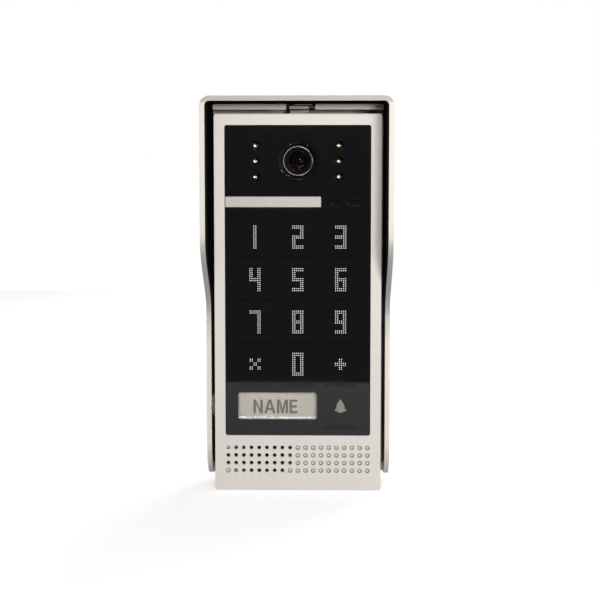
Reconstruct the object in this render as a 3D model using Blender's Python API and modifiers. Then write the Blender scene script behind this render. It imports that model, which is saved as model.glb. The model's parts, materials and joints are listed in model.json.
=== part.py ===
"""Wall-mounted video door station with a touch keypad, in a metal rain hood.

Metres, +Z up. The panel faces -Y, the wall is the plane Y = 0, and the origin is the centre
of the hood's back plate on its wall side. X is the panel's width, with +X to a visitor's right.
"""

from math import acos, asin, cos, degrees, pi, radians, sin

import bmesh
import bpy
from mathutils import Matrix, Vector

MM = 0.001
GAP = 0.3 * MM  # left between pieces that touch on the real object
REACH = 100 * MM  # how far a cutter runs past what it cuts

# Rain hood: a back plate with a roof and two cheeks, deep at the top and shallow at the bottom.
# A rib under the roof hides the gap over the panel, with a notch for the hook.
HOOD_WIDTH = 83.0 * MM
HOOD_HEIGHT = 171.6 * MM
HOOD_WALL = 2.2 * MM
HOOD_CORNER = 4.2 * MM
HOOD_ROOF = 1.1 * MM  # roof behind its thicker front lip
HOOD_LIP = 0.8 * MM
HOOD_DEPTH_TOP = 51.0 * MM
HOOD_DEPTH_BOTTOM = 22.0 * MM
HOOD_SWEEP_TOP = 24.5 * MM
HOOD_SWEEP_BOTTOM = -10.5 * MM
HOOD_TOE_RADIUS = 16.0 * MM
LINER_WALL = 0.8 * MM
LINER_SETBACK = 1.1 * MM
LINER_REAR = -18.2 * MM
LINER_ROOF_REAR = -27.0 * MM
RIB = (37.8 * MM, -25.4 * MM, -24.4 * MM, 81.2 * MM)
RIB_NOTCH = (-5.2 * MM, 7.7 * MM, 84.2 * MM)
CABLE_OPENING = (40.0 * MM, 44.0 * MM)
CABLE_CORNER = 4.0 * MM
CABLE_Z = 30.0 * MM
SCREW_SLOT = (4.6 * MM, 9.0 * MM)
SCREW_SLOT_X = 22.0 * MM
SCREW_SLOT_Z = (66.0 * MM, -62.0 * MM)

# Lock tab under the panel, and the hook that the panel hangs from
TAB_HALF_WIDTH = 8.0 * MM
TAB_FRONT = -16.0 * MM
TAB_THICKNESS = 1.5 * MM
LOCK_Y = -12.5 * MM
LOCK_SLOT = 4.4 * MM
TILT_AXIS = Vector((0.0, -13.7 * MM, 76.0 * MM))
HOOK_SIDES = (-3.9 * MM, 4.9 * MM)
HOOK_SHEET = 1.0 * MM
HOOK_TOP = 82.8 * MM
HOOK_FRONT = -26.2 * MM
TONGUE_LOW = 81.4 * MM
HOOK_TIP = 73.2 * MM
HOOK_FOOT = 58.0 * MM
LEAF_SIDES = (5.3 * MM, 7.2 * MM)
LEAF_BRIDGE = (-1.7 * MM, 6.0 * MM, -25.9 * MM)
LEAF_SHEET = 0.4 * MM
LEAF_CURL = 1.6 * MM

# Front panel
PANEL_WIDTH = 74.4 * MM
PANEL_HEIGHT = 168.5 * MM
PANEL_Z = -5.0 * MM
PANEL_FRONT = -29.0 * MM
FRAME_PLATE = 2.4 * MM
FRAME_WALL = 1.8 * MM
FRAME_REAR = -20.5 * MM
FRAME_CORNER = 1.0 * MM
FRAME_EDGE = 0.4 * MM
BOSS_RADIUS = 2.4 * MM
BOSS_BORE = 1.5 * MM

# Black window in the frame
WINDOW_WIDTH = 65.0 * MM
WINDOW_TOP = 74.3 * MM
WINDOW_BOTTOM = -64.4 * MM
WINDOW_CORNER = 1.0 * MM
WINDOW_FRONT = PANEL_FRONT + 0.3 * MM
WINDOW_LIP = 1.7 * MM
WINDOW_LIP_FRONT = -25.6 * MM
WINDOW_REAR = -24.7 * MM
CLEARANCE = 0.3 * MM

# What shows in the window
LENS = Vector((0.0, -15.0 * MM, 58.6 * MM))
LENS_HOLE = 8.5 * MM
LED_X = 18.5 * MM
LED_Z = (65.4 * MM, 58.5 * MM, 51.6 * MM)
LED_HOLE = 2.0 * MM
LED_RADIUS = 1.5 * MM
LED_FLANGE = 1.8 * MM
STRIP = (-32.2 * MM, 10.3 * MM, 38.1 * MM, 42.75 * MM)
STRIP_DEPTH = 0.6 * MM
STATUS = (16.65 * MM, 40.35 * MM)
STATUS_RADIUS = 1.4 * MM
SENSOR = (25.1 * MM, 40.2 * MM)
SENSOR_SIZE = (5.7 * MM, 2.3 * MM)
NAME_CENTRE = (-9.05 * MM, -51.1 * MM)
NAME_SIZE = (34.7 * MM, 11.7 * MM)

# Speaker grille in the frame's chin: drilled over the speaker, blind dimples elsewhere
GRILLE_COLUMNS = 19
GRILLE_ROWS = 4
GRILLE_PITCH = 3.48 * MM
GRILLE_TOP = -69.95 * MM
GRILLE_RADIUS = 0.82 * MM
DRILLED_COLUMNS = 9

# Rear housing and what it holds
HOUSING_HALF_WIDTH = 33.8 * MM
HOUSING_TOP = 76.4 * MM
HOUSING_BOTTOM = -84.8 * MM
HOUSING_WALL = 1.8 * MM
HOUSING_BACK = 2.0 * MM
HOUSING_REAR = -5.0 * MM
HOUSING_FRONT = -22.3 * MM
RIM_HALF_WIDTH = 35.0 * MM
RIM_TOP = 77.1 * MM
RIM_BOTTOM = -87.1 * MM
RIM_REAR = -20.8 * MM
POCKET = (7.5 * MM, -17.4 * MM, -10.0 * MM, 71.0 * MM)
GROMMET_HOLE = 7.0 * MM
GROMMET_BORE = 4.0 * MM
BOARD_FRONT = -18.0 * MM
BOARD_REAR = -16.4 * MM
BOARD_HALF = 30.0 * MM
THIN_BOARD = 1.0 * MM
HOUSING_SCREW = (29.5 * MM, -80.4 * MM)
SPEAKER_CENTRE = (-14.9 * MM, -75.1 * MM)
SPEAKER_SIZE = (23.4 * MM, 15.4 * MM)
MAGNET_RADIUS = 5.0 * MM
MICROPHONE = (-30.6 * MM, -70.2 * MM)
TERMINALS = 6
TERMINAL_PITCH = 5.0 * MM
CAPACITOR = (22.0 * MM, -14.0 * MM)
TAMPER = (22.0 * MM, -40.0 * MM)
TRIMMER = (-22.0 * MM, -40.0 * MM)
ROTOR_RADIUS = 2.3 * MM

# Camera on its shelf, yoke and tilt pins
SHELF_TOP = 45.5 * MM
SHELF_FOOT = 32.0 * MM
SHELF_HALF = 9.0 * MM
SHELF_SHEET = 1.5 * MM
YOKE_HALF = 11.5 * MM
YOKE_WALL = 1.2 * MM
HEAD_HALF_DEPTH = 4.0 * MM
HEAD_HALF_HEIGHT = 7.8 * MM
TILT_PIN = 1.2 * MM
CAMERA_BOARD = (15.4 * MM, 13.6 * MM)
BARREL_LIP = -22.5 * MM
GLASS_RADIUS = 4.5 * MM

# Sliding name-card carrier
CARRIER_FRONT = -24.4 * MM
CARRIER_REAR = -23.2 * MM
CARRIER_RIGHT = 9.4 * MM
CARRIER_HALF_HEIGHT = 5.9 * MM
CARRIER_TAB = 2.3 * MM


def make_collection(name):
    collection = bpy.data.collections.new(name)
    bpy.context.scene.collection.children.link(collection)
    return collection


for old in list(bpy.data.objects):
    bpy.data.objects.remove(old)
STATION = make_collection("Video_door_station")
CUTTERS = make_collection("Cutters")
MATERIALS = {}


def material(name, colour, roughness, metallic=0.0, transmission=0.0):
    """A Principled material, made once per name."""
    if name not in MATERIALS:
        made = bpy.data.materials.new(name)
        made.use_nodes = True
        shader = made.node_tree.nodes["Principled BSDF"]
        shader.inputs["Base Color"].default_value = (*colour, 1.0)
        shader.inputs["Roughness"].default_value = roughness
        shader.inputs["Metallic"].default_value = metallic
        shader.inputs["Transmission Weight"].default_value = transmission
        MATERIALS[name] = made
    return MATERIALS[name]


SILVER = material("silver_coating", (0.70, 0.67, 0.64), 0.42, 0.8)
BLACK_GLOSS = material("black_acrylic", (0.012, 0.012, 0.014), 0.08)
BLACK_MATT = material("black_liner", (0.010, 0.010, 0.010), 0.85)
BLACK_PLASTIC = material("black_plastic", (0.025, 0.025, 0.027), 0.5)
GREY_PLASTIC = material("grey_housing", (0.12, 0.12, 0.13), 0.55)
CLEAR = material("clear_plastic", (0.95, 0.96, 0.96), 0.05, 0.0, 0.9)
WHITE = material("white_diffuser", (0.85, 0.84, 0.80), 0.5)
CARD = material("card", (0.62, 0.59, 0.53), 0.7)
EPOXY = material("emitter_lens", (0.80, 0.84, 0.80), 0.05, 0.0, 0.9)
FLEX = material("flex", (0.45, 0.24, 0.08), 0.4)
RUBBER = material("rubber", (0.03, 0.03, 0.03), 0.8)
BOARD_GREEN = material("circuit_board", (0.02, 0.14, 0.06), 0.45)
STEEL = material("steel", (0.62, 0.62, 0.63), 0.3, 1.0)
SPRING_STEEL = material("spring_steel", (0.72, 0.70, 0.66), 0.25, 1.0)
TERMINAL_GREEN = material("terminal_green", (0.04, 0.30, 0.12), 0.45)


def pivot(name, place, parent=None):
    """An empty at a world place, which moving pieces hang from."""
    empty = bpy.data.objects.new(name, None)
    empty.empty_display_size = 5 * MM
    STATION.objects.link(empty)
    empty.location = Vector(place)
    if parent:
        empty.parent = parent
        empty.location = Vector(place) - world_place(parent)
    return empty


def world_place(obj):
    """World place of an empty: every empty here is only moved, never turned."""
    place = obj.location.copy()
    while obj.parent:
        obj = obj.parent
        place += obj.location
    return place


def finish(obj, look, parent=None, smooth=False):
    """Gives a finished piece its material, its parent and its shading."""
    obj.data.materials.clear()
    obj.data.materials.append(look)
    if parent:
        obj.parent = parent
        obj.matrix_parent_inverse = Matrix.Translation(-world_place(parent))
    if smooth:
        obj.data.shade_smooth()
        obj.data.set_sharp_from_angle(angle=radians(35))
    return obj


def place_mesh(name, mesh, location=(0, 0, 0), rotation=(0, 0, 0)):
    obj = bpy.data.objects.new(name, mesh)
    obj.location = location
    obj.rotation_euler = rotation
    STATION.objects.link(obj)
    return obj


def block(name, low, high):
    """A box between two corners."""
    low, high = Vector(low), Vector(high)
    shape = bmesh.new()
    bmesh.ops.create_cube(shape, size=1.0)
    bmesh.ops.scale(shape, vec=high - low, verts=shape.verts)
    mesh = bpy.data.meshes.new(name)
    shape.to_mesh(mesh)
    shape.free()
    return place_mesh(name, mesh, (low + high) / 2)


def arc(centre, radius, start, end, steps):
    """Points on an arc, angles in degrees."""
    turns = [radians(start + (end - start) * step / steps) for step in range(steps + 1)]
    return [(centre[0] + radius * cos(turn), centre[1] + radius * sin(turn)) for turn in turns]


def circle(centre, radius, sides):
    return arc(centre, radius, 0, 360, sides)[:-1]


def rounded(low, high, radius, steps=3):
    """A rounded rectangle between two corners, anticlockwise."""
    (left, bottom), (right, top) = low, high
    points = arc((right - radius, top - radius), radius, 0, 90, steps)
    points += arc((left + radius, top - radius), radius, 90, 180, steps)
    points += arc((left + radius, bottom + radius), radius, 180, 270, steps)
    return points + arc((right - radius, bottom + radius), radius, 270, 360, steps)


def centred(centre, size, radius, steps=3):
    half = (size[0] / 2, size[1] / 2)
    low = (centre[0] - half[0], centre[1] - half[1])
    return rounded(low, (centre[0] + half[0], centre[1] + half[1]), radius, steps)


def outline_mesh(name, outlines, thickness):
    """A flat shape from closed outlines, those inside another being holes, as a welded mesh."""
    curve = bpy.data.curves.new(name, "CURVE")
    curve.dimensions = "2D"
    curve.fill_mode = "BOTH"
    curve.extrude = thickness / 2
    for points in outlines:
        spline = curve.splines.new("POLY")
        spline.points.add(len(points) - 1)
        for target, (x, y) in zip(spline.points, points):
            target.co = (x, y, 0.0, 1.0)
        spline.use_cyclic_u = True
    helper = bpy.data.objects.new(name, curve)
    STATION.objects.link(helper)
    graph = bpy.context.evaluated_depsgraph_get()
    mesh = bpy.data.meshes.new_from_object(helper.evaluated_get(graph))
    shape = bmesh.new()
    shape.from_mesh(mesh)
    bmesh.ops.remove_doubles(shape, verts=shape.verts, dist=1e-6)
    bmesh.ops.recalc_face_normals(shape, faces=shape.faces)
    shape.to_mesh(mesh)
    shape.free()
    bpy.data.objects.remove(helper)
    bpy.data.curves.remove(curve)
    mesh.name = name
    return mesh


def plate(name, outlines, front, rear):
    """Outlines drawn in X and Z, filled from front to rear along Y."""
    mesh = outline_mesh(name, outlines, rear - front)
    return place_mesh(name, mesh, (0, (front + rear) / 2, 0), (pi / 2, 0, 0))


def profile(name, points, left, right):
    """An outline drawn in Y and Z, filled from left to right along X."""
    mesh = outline_mesh(name, [points], right - left)
    return place_mesh(name, mesh, ((left + right) / 2, 0, 0), (pi / 2, 0, pi / 2))


def turned(name, points, centre, sides=16, closed=False, upright=False):
    """Radius and depth pairs turned about the Y axis through centre, or about Z if upright.

    The points run down the outer side. Depth is a world Y, or a world Z if upright.
    """
    sign = 1.0 if upright else -1.0
    shape = bmesh.new()
    line = [shape.verts.new((radius, 0.0, sign * depth)) for radius, depth in points]
    for first, second in zip(line, line[1:] + ([line[0]] if closed else [])):
        shape.edges.new((first, second))
    mesh = bpy.data.meshes.new(name)
    shape.to_mesh(mesh)
    shape.free()
    place = (centre[0], centre[1], 0.0) if upright else (centre[0], 0.0, centre[1])
    obj = place_mesh(name, mesh, place, (0, 0, 0) if upright else (pi / 2, 0, 0))
    screw = obj.modifiers.new("Turn", "SCREW")
    screw.steps = screw.render_steps = sides
    screw.use_merge_vertices = True
    screw.merge_threshold = 1e-5
    return obj


def as_cutter(obj):
    STATION.objects.unlink(obj)
    CUTTERS.objects.link(obj)
    obj.hide_render = True
    obj.display_type = "WIRE"
    return obj


def combine(target, other, operation):
    modifier = target.modifiers.new(other.name, "BOOLEAN")
    modifier.operation = operation
    modifier.object = as_cutter(other)
    return target


def cut(target, *others):
    for other in others:
        combine(target, other, "DIFFERENCE")
    return target


def join(target, *others):
    for other in others:
        combine(target, other, "UNION")
    return target


def bevel(obj, width, segments=2):
    modifier = obj.modifiers.new("Soft edges", "BEVEL")
    modifier.width = width
    modifier.segments = segments
    modifier.limit_method = "ANGLE"
    modifier.angle_limit = radians(60)
    return obj


# --- Hood and its fittings -------------------------------------------------------------------


def hood_side(depth_cut, top, bottom, rear):
    """The hood seen from the side, in Y and Z, with its front edge moved back by depth_cut.

    The round toe at the foot of each cheek ends where it meets rear.
    """
    deep, shallow = -HOOD_DEPTH_TOP + depth_cut, -HOOD_DEPTH_BOTTOM + depth_cut
    toe = HOOD_TOE_RADIUS
    toe_end = degrees(acos(max(0.0, 1 - (rear - shallow) / toe)))
    steps = 12
    sweep = []
    for step in range(steps + 1):
        share = step / steps
        blend = (1 - cos(pi * share)) / 2
        z = HOOD_SWEEP_TOP + (HOOD_SWEEP_BOTTOM - HOOD_SWEEP_TOP) * share
        sweep.append((deep + (shallow - deep) * blend, z))
    corner = arc((shallow + toe, bottom + toe), toe, 180, 180 + toe_end, 6)
    foot = [(rear, bottom)] if toe_end == 90 else []
    return [(rear, top), (deep, top)] + sweep + corner + foot


def arch(half_width, top, corner, bottom):
    """The hood seen from the front, in X and Z: square feet and rounded shoulders."""
    right = arc((half_width - corner, top - corner), corner, 0, 90, 5)
    left = arc((corner - half_width, top - corner), corner, 90, 180, 5)
    return [(half_width, bottom)] + right + left + [(-half_width, bottom)]


def make_rain_hood():
    half, top = HOOD_WIDTH / 2, HOOD_HEIGHT / 2
    hood = profile("rain_hood", hood_side(0.0, top, -top, 0.0), -half, half)
    shoulders = plate("hood_shoulders", [arch(half, top, HOOD_CORNER, -REACH)], -REACH, REACH)
    combine(hood, shoulders, "INTERSECT")
    corner = HOOD_CORNER - HOOD_WALL
    mouth = arch(half - HOOD_WALL, top - HOOD_WALL, corner, -REACH)
    cut(hood, plate("hood_mouth", [mouth], -REACH, -HOOD_WALL))
    inside = arch(half - HOOD_WALL, top - HOOD_ROOF, corner, -REACH)
    cut(hood, plate("hood_cavity", [inside], HOOD_LIP - HOOD_DEPTH_TOP, -HOOD_WALL))
    reach, front, rear, low = RIB
    rib = block("roof_rib", (-reach, front, low), (reach, rear, top - HOOD_ROOF / 2))
    left, right, notch_top = RIB_NOTCH
    cut(rib, block("rib_notch", (left, -REACH, -REACH), (right, REACH, notch_top)))
    join(hood, rib)
    openings = [centred((0, CABLE_Z), CABLE_OPENING, CABLE_CORNER)]
    for x in (-SCREW_SLOT_X, SCREW_SLOT_X):
        for z in SCREW_SLOT_Z:
            openings.append(centred((x, z), SCREW_SLOT, SCREW_SLOT[0] / 2 - 0.01 * MM))
    cut(hood, plate("hood_openings", openings, -2 * HOOD_WALL, HOOD_WALL))
    join(hood, make_lock_tab())
    return finish(hood, SILVER, smooth=True)


def make_lock_tab():
    """The tab under the panel, bent forward from the back plate, with an open-fronted slot."""
    low, foot = -HOOD_HEIGHT / 2 - TAB_THICKNESS, -HOOD_HEIGHT / 2
    joint = foot + 3 * MM
    bend = [(0.0, joint), (-HOOD_WALL, joint), (-HOOD_WALL, foot)]
    side = bend + [(TAB_FRONT, foot), (TAB_FRONT, low), (0.0, low)]
    tab = profile("lock_tab", side, -TAB_HALF_WIDTH, TAB_HALF_WIDTH)
    half_slot = LOCK_SLOT / 2
    slot_rear = LOCK_Y + half_slot
    slot = block("lock_slot", (-half_slot, -REACH, -REACH), (half_slot, slot_rear, foot + 0.5 * MM))
    return cut(tab, slot)


def make_hood_liner():
    """Matt black lining of the hood's roof and cheeks, which keeps glare off the camera.

    Under the roof it ends in front of the rib, and in the cheeks it runs on to the rear.
    """
    half = HOOD_WIDTH / 2 - HOOD_WALL - GAP
    top = HOOD_HEIGHT / 2 - HOOD_ROOF - GAP
    side = hood_side(LINER_SETBACK, top, -HOOD_HEIGHT / 2, LINER_REAR)
    liner = profile("hood_liner", side, -half, half)
    corner = HOOD_CORNER - HOOD_WALL - GAP
    outer = arch(half, top, corner, -REACH)
    combine(liner, plate("liner_shoulders", [outer], -REACH, REACH), "INTERSECT")
    inner = arch(half - LINER_WALL, top - LINER_WALL, corner - LINER_WALL, -REACH)
    cut(liner, plate("liner_cavity", [inner], -REACH, REACH))
    roof_end = (-REACH, LINER_ROOF_REAR, top - LINER_WALL - corner)
    cut(liner, block("liner_roof_end", roof_end, (REACH, REACH, REACH)))
    return finish(liner, BLACK_MATT, smooth=True)


def make_hook():
    """The sheet-metal hook on the back plate, with its tongue through the rib's notch.

    The leaf spring over it curls down beside the tongue.
    """
    rear = -HOOD_WALL - GAP
    lip, under = TILT_AXIS.y - HOOK_SHEET / 2, HOOK_TOP - HOOK_SHEET
    outside = [(rear, HOOK_FOOT), (rear, HOOK_TOP), (HOOK_FRONT, HOOK_TOP)]
    tongue = [(HOOK_FRONT, TONGUE_LOW), (HOOK_FRONT + HOOK_SHEET, TONGUE_LOW)]
    tongue.append((HOOK_FRONT + HOOK_SHEET, under))
    catch = [(lip, under), (lip, HOOK_TIP), (lip + HOOK_SHEET, HOOK_TIP), (lip + HOOK_SHEET, under)]
    inside = [(rear - HOOK_SHEET, under), (rear - HOOK_SHEET, HOOK_FOOT)]
    finish(profile("hook_bracket", outside + tongue + catch + inside, *HOOK_SIDES), SPRING_STEEL)
    under = HOOK_TOP + GAP
    leaf_top = under + LEAF_SHEET
    centre = (HOOK_FRONT + LEAF_CURL, leaf_top - LEAF_CURL)
    curl = arc(centre, LEAF_CURL, 90, 180, 4)
    inner_curl = arc(centre, LEAF_CURL - LEAF_SHEET, 180, 90, 4)
    back = [(rear, under), (rear, leaf_top)]
    leaf = profile("hook_spring", back + curl + inner_curl, *LEAF_SIDES)
    left, right, front = LEAF_BRIDGE
    bridge = block("leaf_bridge", (left, front, under), (right, rear, leaf_top))
    finish(join(leaf, bridge), SPRING_STEEL)


# --- Front panel ----------------------------------------------------------------------------


def drilled_places():
    """Centres of the grille's drilled holes; the bottom row starts and ends one column in."""
    points = []
    for row in range(GRILLE_ROWS):
        first = 1 if row == GRILLE_ROWS - 1 else 0
        for column in range(first, DRILLED_COLUMNS - first):
            x = (column - (GRILLE_COLUMNS - 1) / 2) * GRILLE_PITCH
            points.append((x, GRILLE_TOP - row * GRILLE_PITCH))
    return points


def make_front_frame(panel):
    half = PANEL_WIDTH / 2
    top, bottom = PANEL_Z + PANEL_HEIGHT / 2, PANEL_Z - PANEL_HEIGHT / 2
    shell = rounded((-half, bottom), (half, top), FRAME_CORNER)
    frame = plate("front_frame", [shell], PANEL_FRONT, FRAME_REAR)
    bevel(frame, FRAME_EDGE)
    inner = (half - FRAME_WALL, top - FRAME_WALL, bottom + FRAME_WALL)
    hollow = rounded((-inner[0], inner[2]), (inner[0], inner[1]), 0.5 * MM, 2)
    cut(frame, plate("frame_hollow", [hollow], PANEL_FRONT + FRAME_PLATE, 0.0))
    half_window = WINDOW_WIDTH / 2
    openings = [rounded((-half_window, WINDOW_BOTTOM), (half_window, WINDOW_TOP), WINDOW_CORNER)]
    openings += [circle(point, GRILLE_RADIUS, 8) for point in drilled_places()]
    behind_plate = PANEL_FRONT + FRAME_PLATE + 1.6 * MM
    cut(frame, plate("frame_openings", openings, PANEL_FRONT - REACH, behind_plate))
    z, reach = NAME_CENTRE[1], CARRIER_HALF_HEIGHT + 0.5 * MM
    front, rear = CARRIER_FRONT - 0.6 * MM, CARRIER_REAR + 0.4 * MM
    slot = block("carrier_slot", (-REACH, front, z - reach), (FRAME_WALL - half, rear, z + reach))
    cut(frame, slot)
    for side in (-1, 1):
        centre = (side * HOUSING_SCREW[0], HOUSING_SCREW[1])
        outlines = [circle(centre, BOSS_RADIUS, 12), circle(centre, BOSS_BORE, 10)]
        join(frame, plate(f"frame_boss_{side}", outlines, PANEL_FRONT + 1.5 * MM, FRAME_REAR))
    return finish(frame, SILVER, panel, smooth=True)


def make_front_window(panel):
    """The black pane: a front boss in the frame's opening on a wider lip behind the frame."""
    half = WINDOW_WIDTH / 2 - CLEARANCE
    top, bottom = WINDOW_TOP - CLEARANCE, WINDOW_BOTTOM + CLEARANCE
    holes = [circle((LENS.x, LENS.z), LENS_HOLE, 32)]
    for x in (-LED_X, LED_X):
        holes += [circle((x, z), LED_HOLE, 16) for z in LED_Z]
    holes.append(circle(STATUS, STATUS_RADIUS + CLEARANCE, 16))
    sensor_hole = (SENSOR_SIZE[0] + 2 * CLEARANCE, SENSOR_SIZE[1] + 2 * CLEARANCE)
    holes.append(centred(SENSOR, sensor_hole, sensor_hole[1] / 2 - 0.01 * MM))
    name_hole = (NAME_SIZE[0] + 2 * CLEARANCE, NAME_SIZE[1] + 2 * CLEARANCE)
    holes.append(centred(NAME_CENTRE, name_hole, 1.2 * MM))
    boss = rounded((-half, bottom), (half, top), WINDOW_CORNER)
    window = plate("front_window", [boss] + holes, WINDOW_FRONT, WINDOW_REAR)
    wide = (half + WINDOW_LIP, top + WINDOW_LIP, bottom - WINDOW_LIP)
    lip_outline = rounded((-wide[0], wide[2]), (wide[0], wide[1]), WINDOW_CORNER)
    inset = WINDOW_LIP + CLEARANCE
    bore = rounded((-half + inset, bottom + inset), (half - inset, top - inset), WINDOW_CORNER)
    join(window, plate("window_lip", [lip_outline, bore], WINDOW_LIP_FRONT, WINDOW_REAR))
    left, right, low, high = STRIP
    reach = WINDOW_FRONT + STRIP_DEPTH + CLEARANCE
    recess_low = (-REACH, -REACH, low - CLEARANCE)
    recess_high = (right + CLEARANCE, reach, high + CLEARANCE)
    cut(window, block("strip_recess", recess_low, recess_high))
    finish(window, BLACK_GLOSS, panel)
    edge = 2 * CLEARANCE
    bore = rounded((-half - edge, bottom - edge), (half + edge, top + edge), WINDOW_CORNER)
    tape = [lip_outline, bore]
    rear = WINDOW_LIP_FRONT - GAP
    finish(plate("window_tape", tape, PANEL_FRONT + FRAME_PLATE + GAP, rear), RUBBER, panel)
    strip = rounded((left, low), (right, high), 0.2 * MM, 2)
    finish(plate("trim_strip", [strip], WINDOW_FRONT, WINDOW_FRONT + STRIP_DEPTH), SILVER, panel)
    name = centred(NAME_CENTRE, NAME_SIZE, 0.9 * MM)
    finish(plate("name_window", [name], WINDOW_FRONT, WINDOW_REAR), CLEAR, panel)
    edge = LENS_HOLE - CLEARANCE
    disc = [(0.0, WINDOW_FRONT), (edge - 0.2 * MM, WINDOW_FRONT), (edge, WINDOW_FRONT + 0.2 * MM)]
    disc += [(edge, WINDOW_FRONT + 1.2 * MM), (0.0, WINDOW_FRONT + 1.2 * MM)]
    finish(turned("camera_window", disc, (LENS.x, LENS.z), 32), CLEAR, panel, smooth=True)


def make_lights(panel):
    """Six infrared emitters, the status lamp and the daylight sensor, on one board."""
    base = CARRIER_FRONT - GAP
    tip = WINDOW_FRONT + 0.4 * MM
    radius, flange = LED_RADIUS, LED_FLANGE
    step = base - 0.6 * MM
    dome = [(radius * cos(radians(a)), tip + radius * (1 - sin(radians(a)))) for a in (60, 30, 0)]
    outside = [(0.0, tip)] + dome + [(radius, step), (flange, step), (flange, base), (0.0, base)]
    number = 0
    for x in (-LED_X, LED_X):
        for z in LED_Z:
            number += 1
            led = turned(f"infrared_led_{number}", outside, (x, z), 12)
            finish(led, EPOXY, panel, smooth=True)
    pipe = [(0.0, WINDOW_FRONT), (STATUS_RADIUS, WINDOW_FRONT), (STATUS_RADIUS, base), (0.0, base)]
    finish(turned("status_lamp", pipe, STATUS, 16), CLEAR, panel, smooth=True)
    pill = centred(SENSOR, SENSOR_SIZE, SENSOR_SIZE[1] / 2 - 0.01 * MM, 5)
    finish(plate("light_sensor", [pill], WINDOW_FRONT, base), CLEAR, panel, smooth=True)
    outline = rounded((-BOARD_HALF, 36.5 * MM), (BOARD_HALF, 72 * MM), 1.5 * MM)
    board = [outline, circle((LENS.x, LENS.z), LENS_HOLE + 1.7 * MM, 24)]
    front = CARRIER_FRONT
    finish(plate("light_board", board, front, front + THIN_BOARD), BOARD_GREEN, panel)


def make_touch_board(panel):
    """Touch electrodes behind the digits, with a leg down to the bell key."""
    left, right, top, bottom, step = -BOARD_HALF, BOARD_HALF, 34.5 * MM, -62 * MM, -42 * MM
    leg = 11.0 * MM
    outline = [(left, top), (left, step), (leg, step), (leg, bottom), (right, bottom), (right, top)]
    board = plate("touch_board", [outline], CARRIER_FRONT, CARRIER_FRONT + THIN_BOARD)
    finish(board, BOARD_GREEN, panel)
    z, x = 30 * MM, 6 * MM
    front, rear, sheet = CARRIER_FRONT + THIN_BOARD + GAP, BOARD_FRONT - GAP, 0.4 * MM
    foot, under = z - 6 * MM, z - 2 * MM
    loop = [(front, z), (front, foot), (front + sheet, foot), (front + sheet, under)]
    loop += [(rear - sheet, under), (rear - sheet, foot), (rear, foot), (rear, z)]
    finish(profile("flex_cable", loop, -x, x), FLEX, panel)


def make_name_card(panel):
    """The clear carrier with its thumb tab, which slides out to the left, and its card."""
    z = NAME_CENTRE[1]
    slide = pivot("card_slide", (-PANEL_WIDTH / 2, CARRIER_FRONT, z), panel)
    half, right = CARRIER_HALF_HEIGHT, CARRIER_RIGHT
    radius = (half**2 + CARRIER_TAB**2) / (2 * CARRIER_TAB)
    spread = degrees(asin(half / radius))
    centre = (radius - PANEL_WIDTH / 2 - CARRIER_TAB, z)
    tab = arc(centre, radius, 180 - spread, 180 + spread, 8)
    outline = tab + [(right, z - half), (right, z + half)]
    carrier = plate("card_carrier", [outline], CARRIER_FRONT, CARRIER_REAR)
    card_size = (NAME_SIZE[0] - 0.6 * MM, 2 * half - 1.6 * MM)
    pocket_size = (card_size[0] + 2 * CLEARANCE, card_size[1] + 2 * CLEARANCE)
    pocket = centred(NAME_CENTRE, pocket_size, 0.4 * MM, 1)
    cut(carrier, plate("card_pocket", [pocket], -REACH, CARRIER_FRONT + 0.6 * MM))
    finish(carrier, CLEAR, slide)
    card = centred(NAME_CENTRE, card_size, 0.3 * MM, 1)
    front = CARRIER_FRONT
    finish(plate("name_card", [card], front, front + 0.3 * MM), CARD, slide)
    glow = centred(NAME_CENTRE, (NAME_SIZE[0] + 1.0 * MM, NAME_SIZE[1] + 0.4 * MM), 0.8 * MM)
    finish(plate("name_diffuser", [glow], CARRIER_REAR + GAP, FRAME_REAR), WHITE, panel)


def make_speaker(panel):
    """A small oval speaker behind the drilled holes, and the microphone in its boot."""
    x, z = SPEAKER_CENTRE
    front = PANEL_FRONT + FRAME_PLATE + GAP
    rim, rear = front + 1.0 * MM, -18.3 * MM
    basket = centred((x, z), SPEAKER_SIZE, 5 * MM, 4)
    well_size = (SPEAKER_SIZE[0] - 3 * MM, SPEAKER_SIZE[1] - 3 * MM)
    body = plate("speaker_basket", [basket], rim, rear)
    well = centred((x, z), well_size, 4 * MM, 4)
    cut(body, plate("speaker_well", [well], -REACH, rim + 3.2 * MM))
    finish(body, BLACK_PLASTIC, panel)
    finish(plate("speaker_gasket", [basket, well], front, rim - GAP), RUBBER, panel)
    low, high = rear + GAP, rear + 3 * MM
    magnet = [(0.0, low), (MAGNET_RADIUS, low), (MAGNET_RADIUS, high), (0.0, high)]
    finish(turned("speaker_magnet", magnet, (x, z), 20), STEEL, panel, smooth=True)
    moving = pivot("cone_axis", (x, rim + 2 * MM, z), panel)
    cone_size = (well_size[0] - 1.2 * MM, well_size[1] - 1.2 * MM)
    cone = plate("speaker_cone", [centred((x, z), cone_size, 3.4 * MM, 4)], rim + 1.2 * MM, rim + 2 * MM)
    finish(cone, BLACK_MATT, moving)
    bore, outer, inner = 1.0 * MM, 2.3 * MM, 1.9 * MM
    floor, rear = front + 0.6 * MM, front + 3 * MM
    boot = [(bore, front), (outer, front), (outer, rear), (inner, rear), (inner, floor), (bore, floor)]
    finish(turned("microphone_boot", boot, MICROPHONE, 14, closed=True), RUBBER, panel, smooth=True)
    low, high, capsule_radius = floor + GAP, rear - 0.2 * MM, inner - GAP
    capsule = [(0.0, low), (capsule_radius, low), (capsule_radius, high), (0.0, high)]
    finish(turned("microphone", capsule, MICROPHONE, 14), STEEL, panel, smooth=True)


# --- Rear housing and its contents ------------------------------------------------------------


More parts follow.
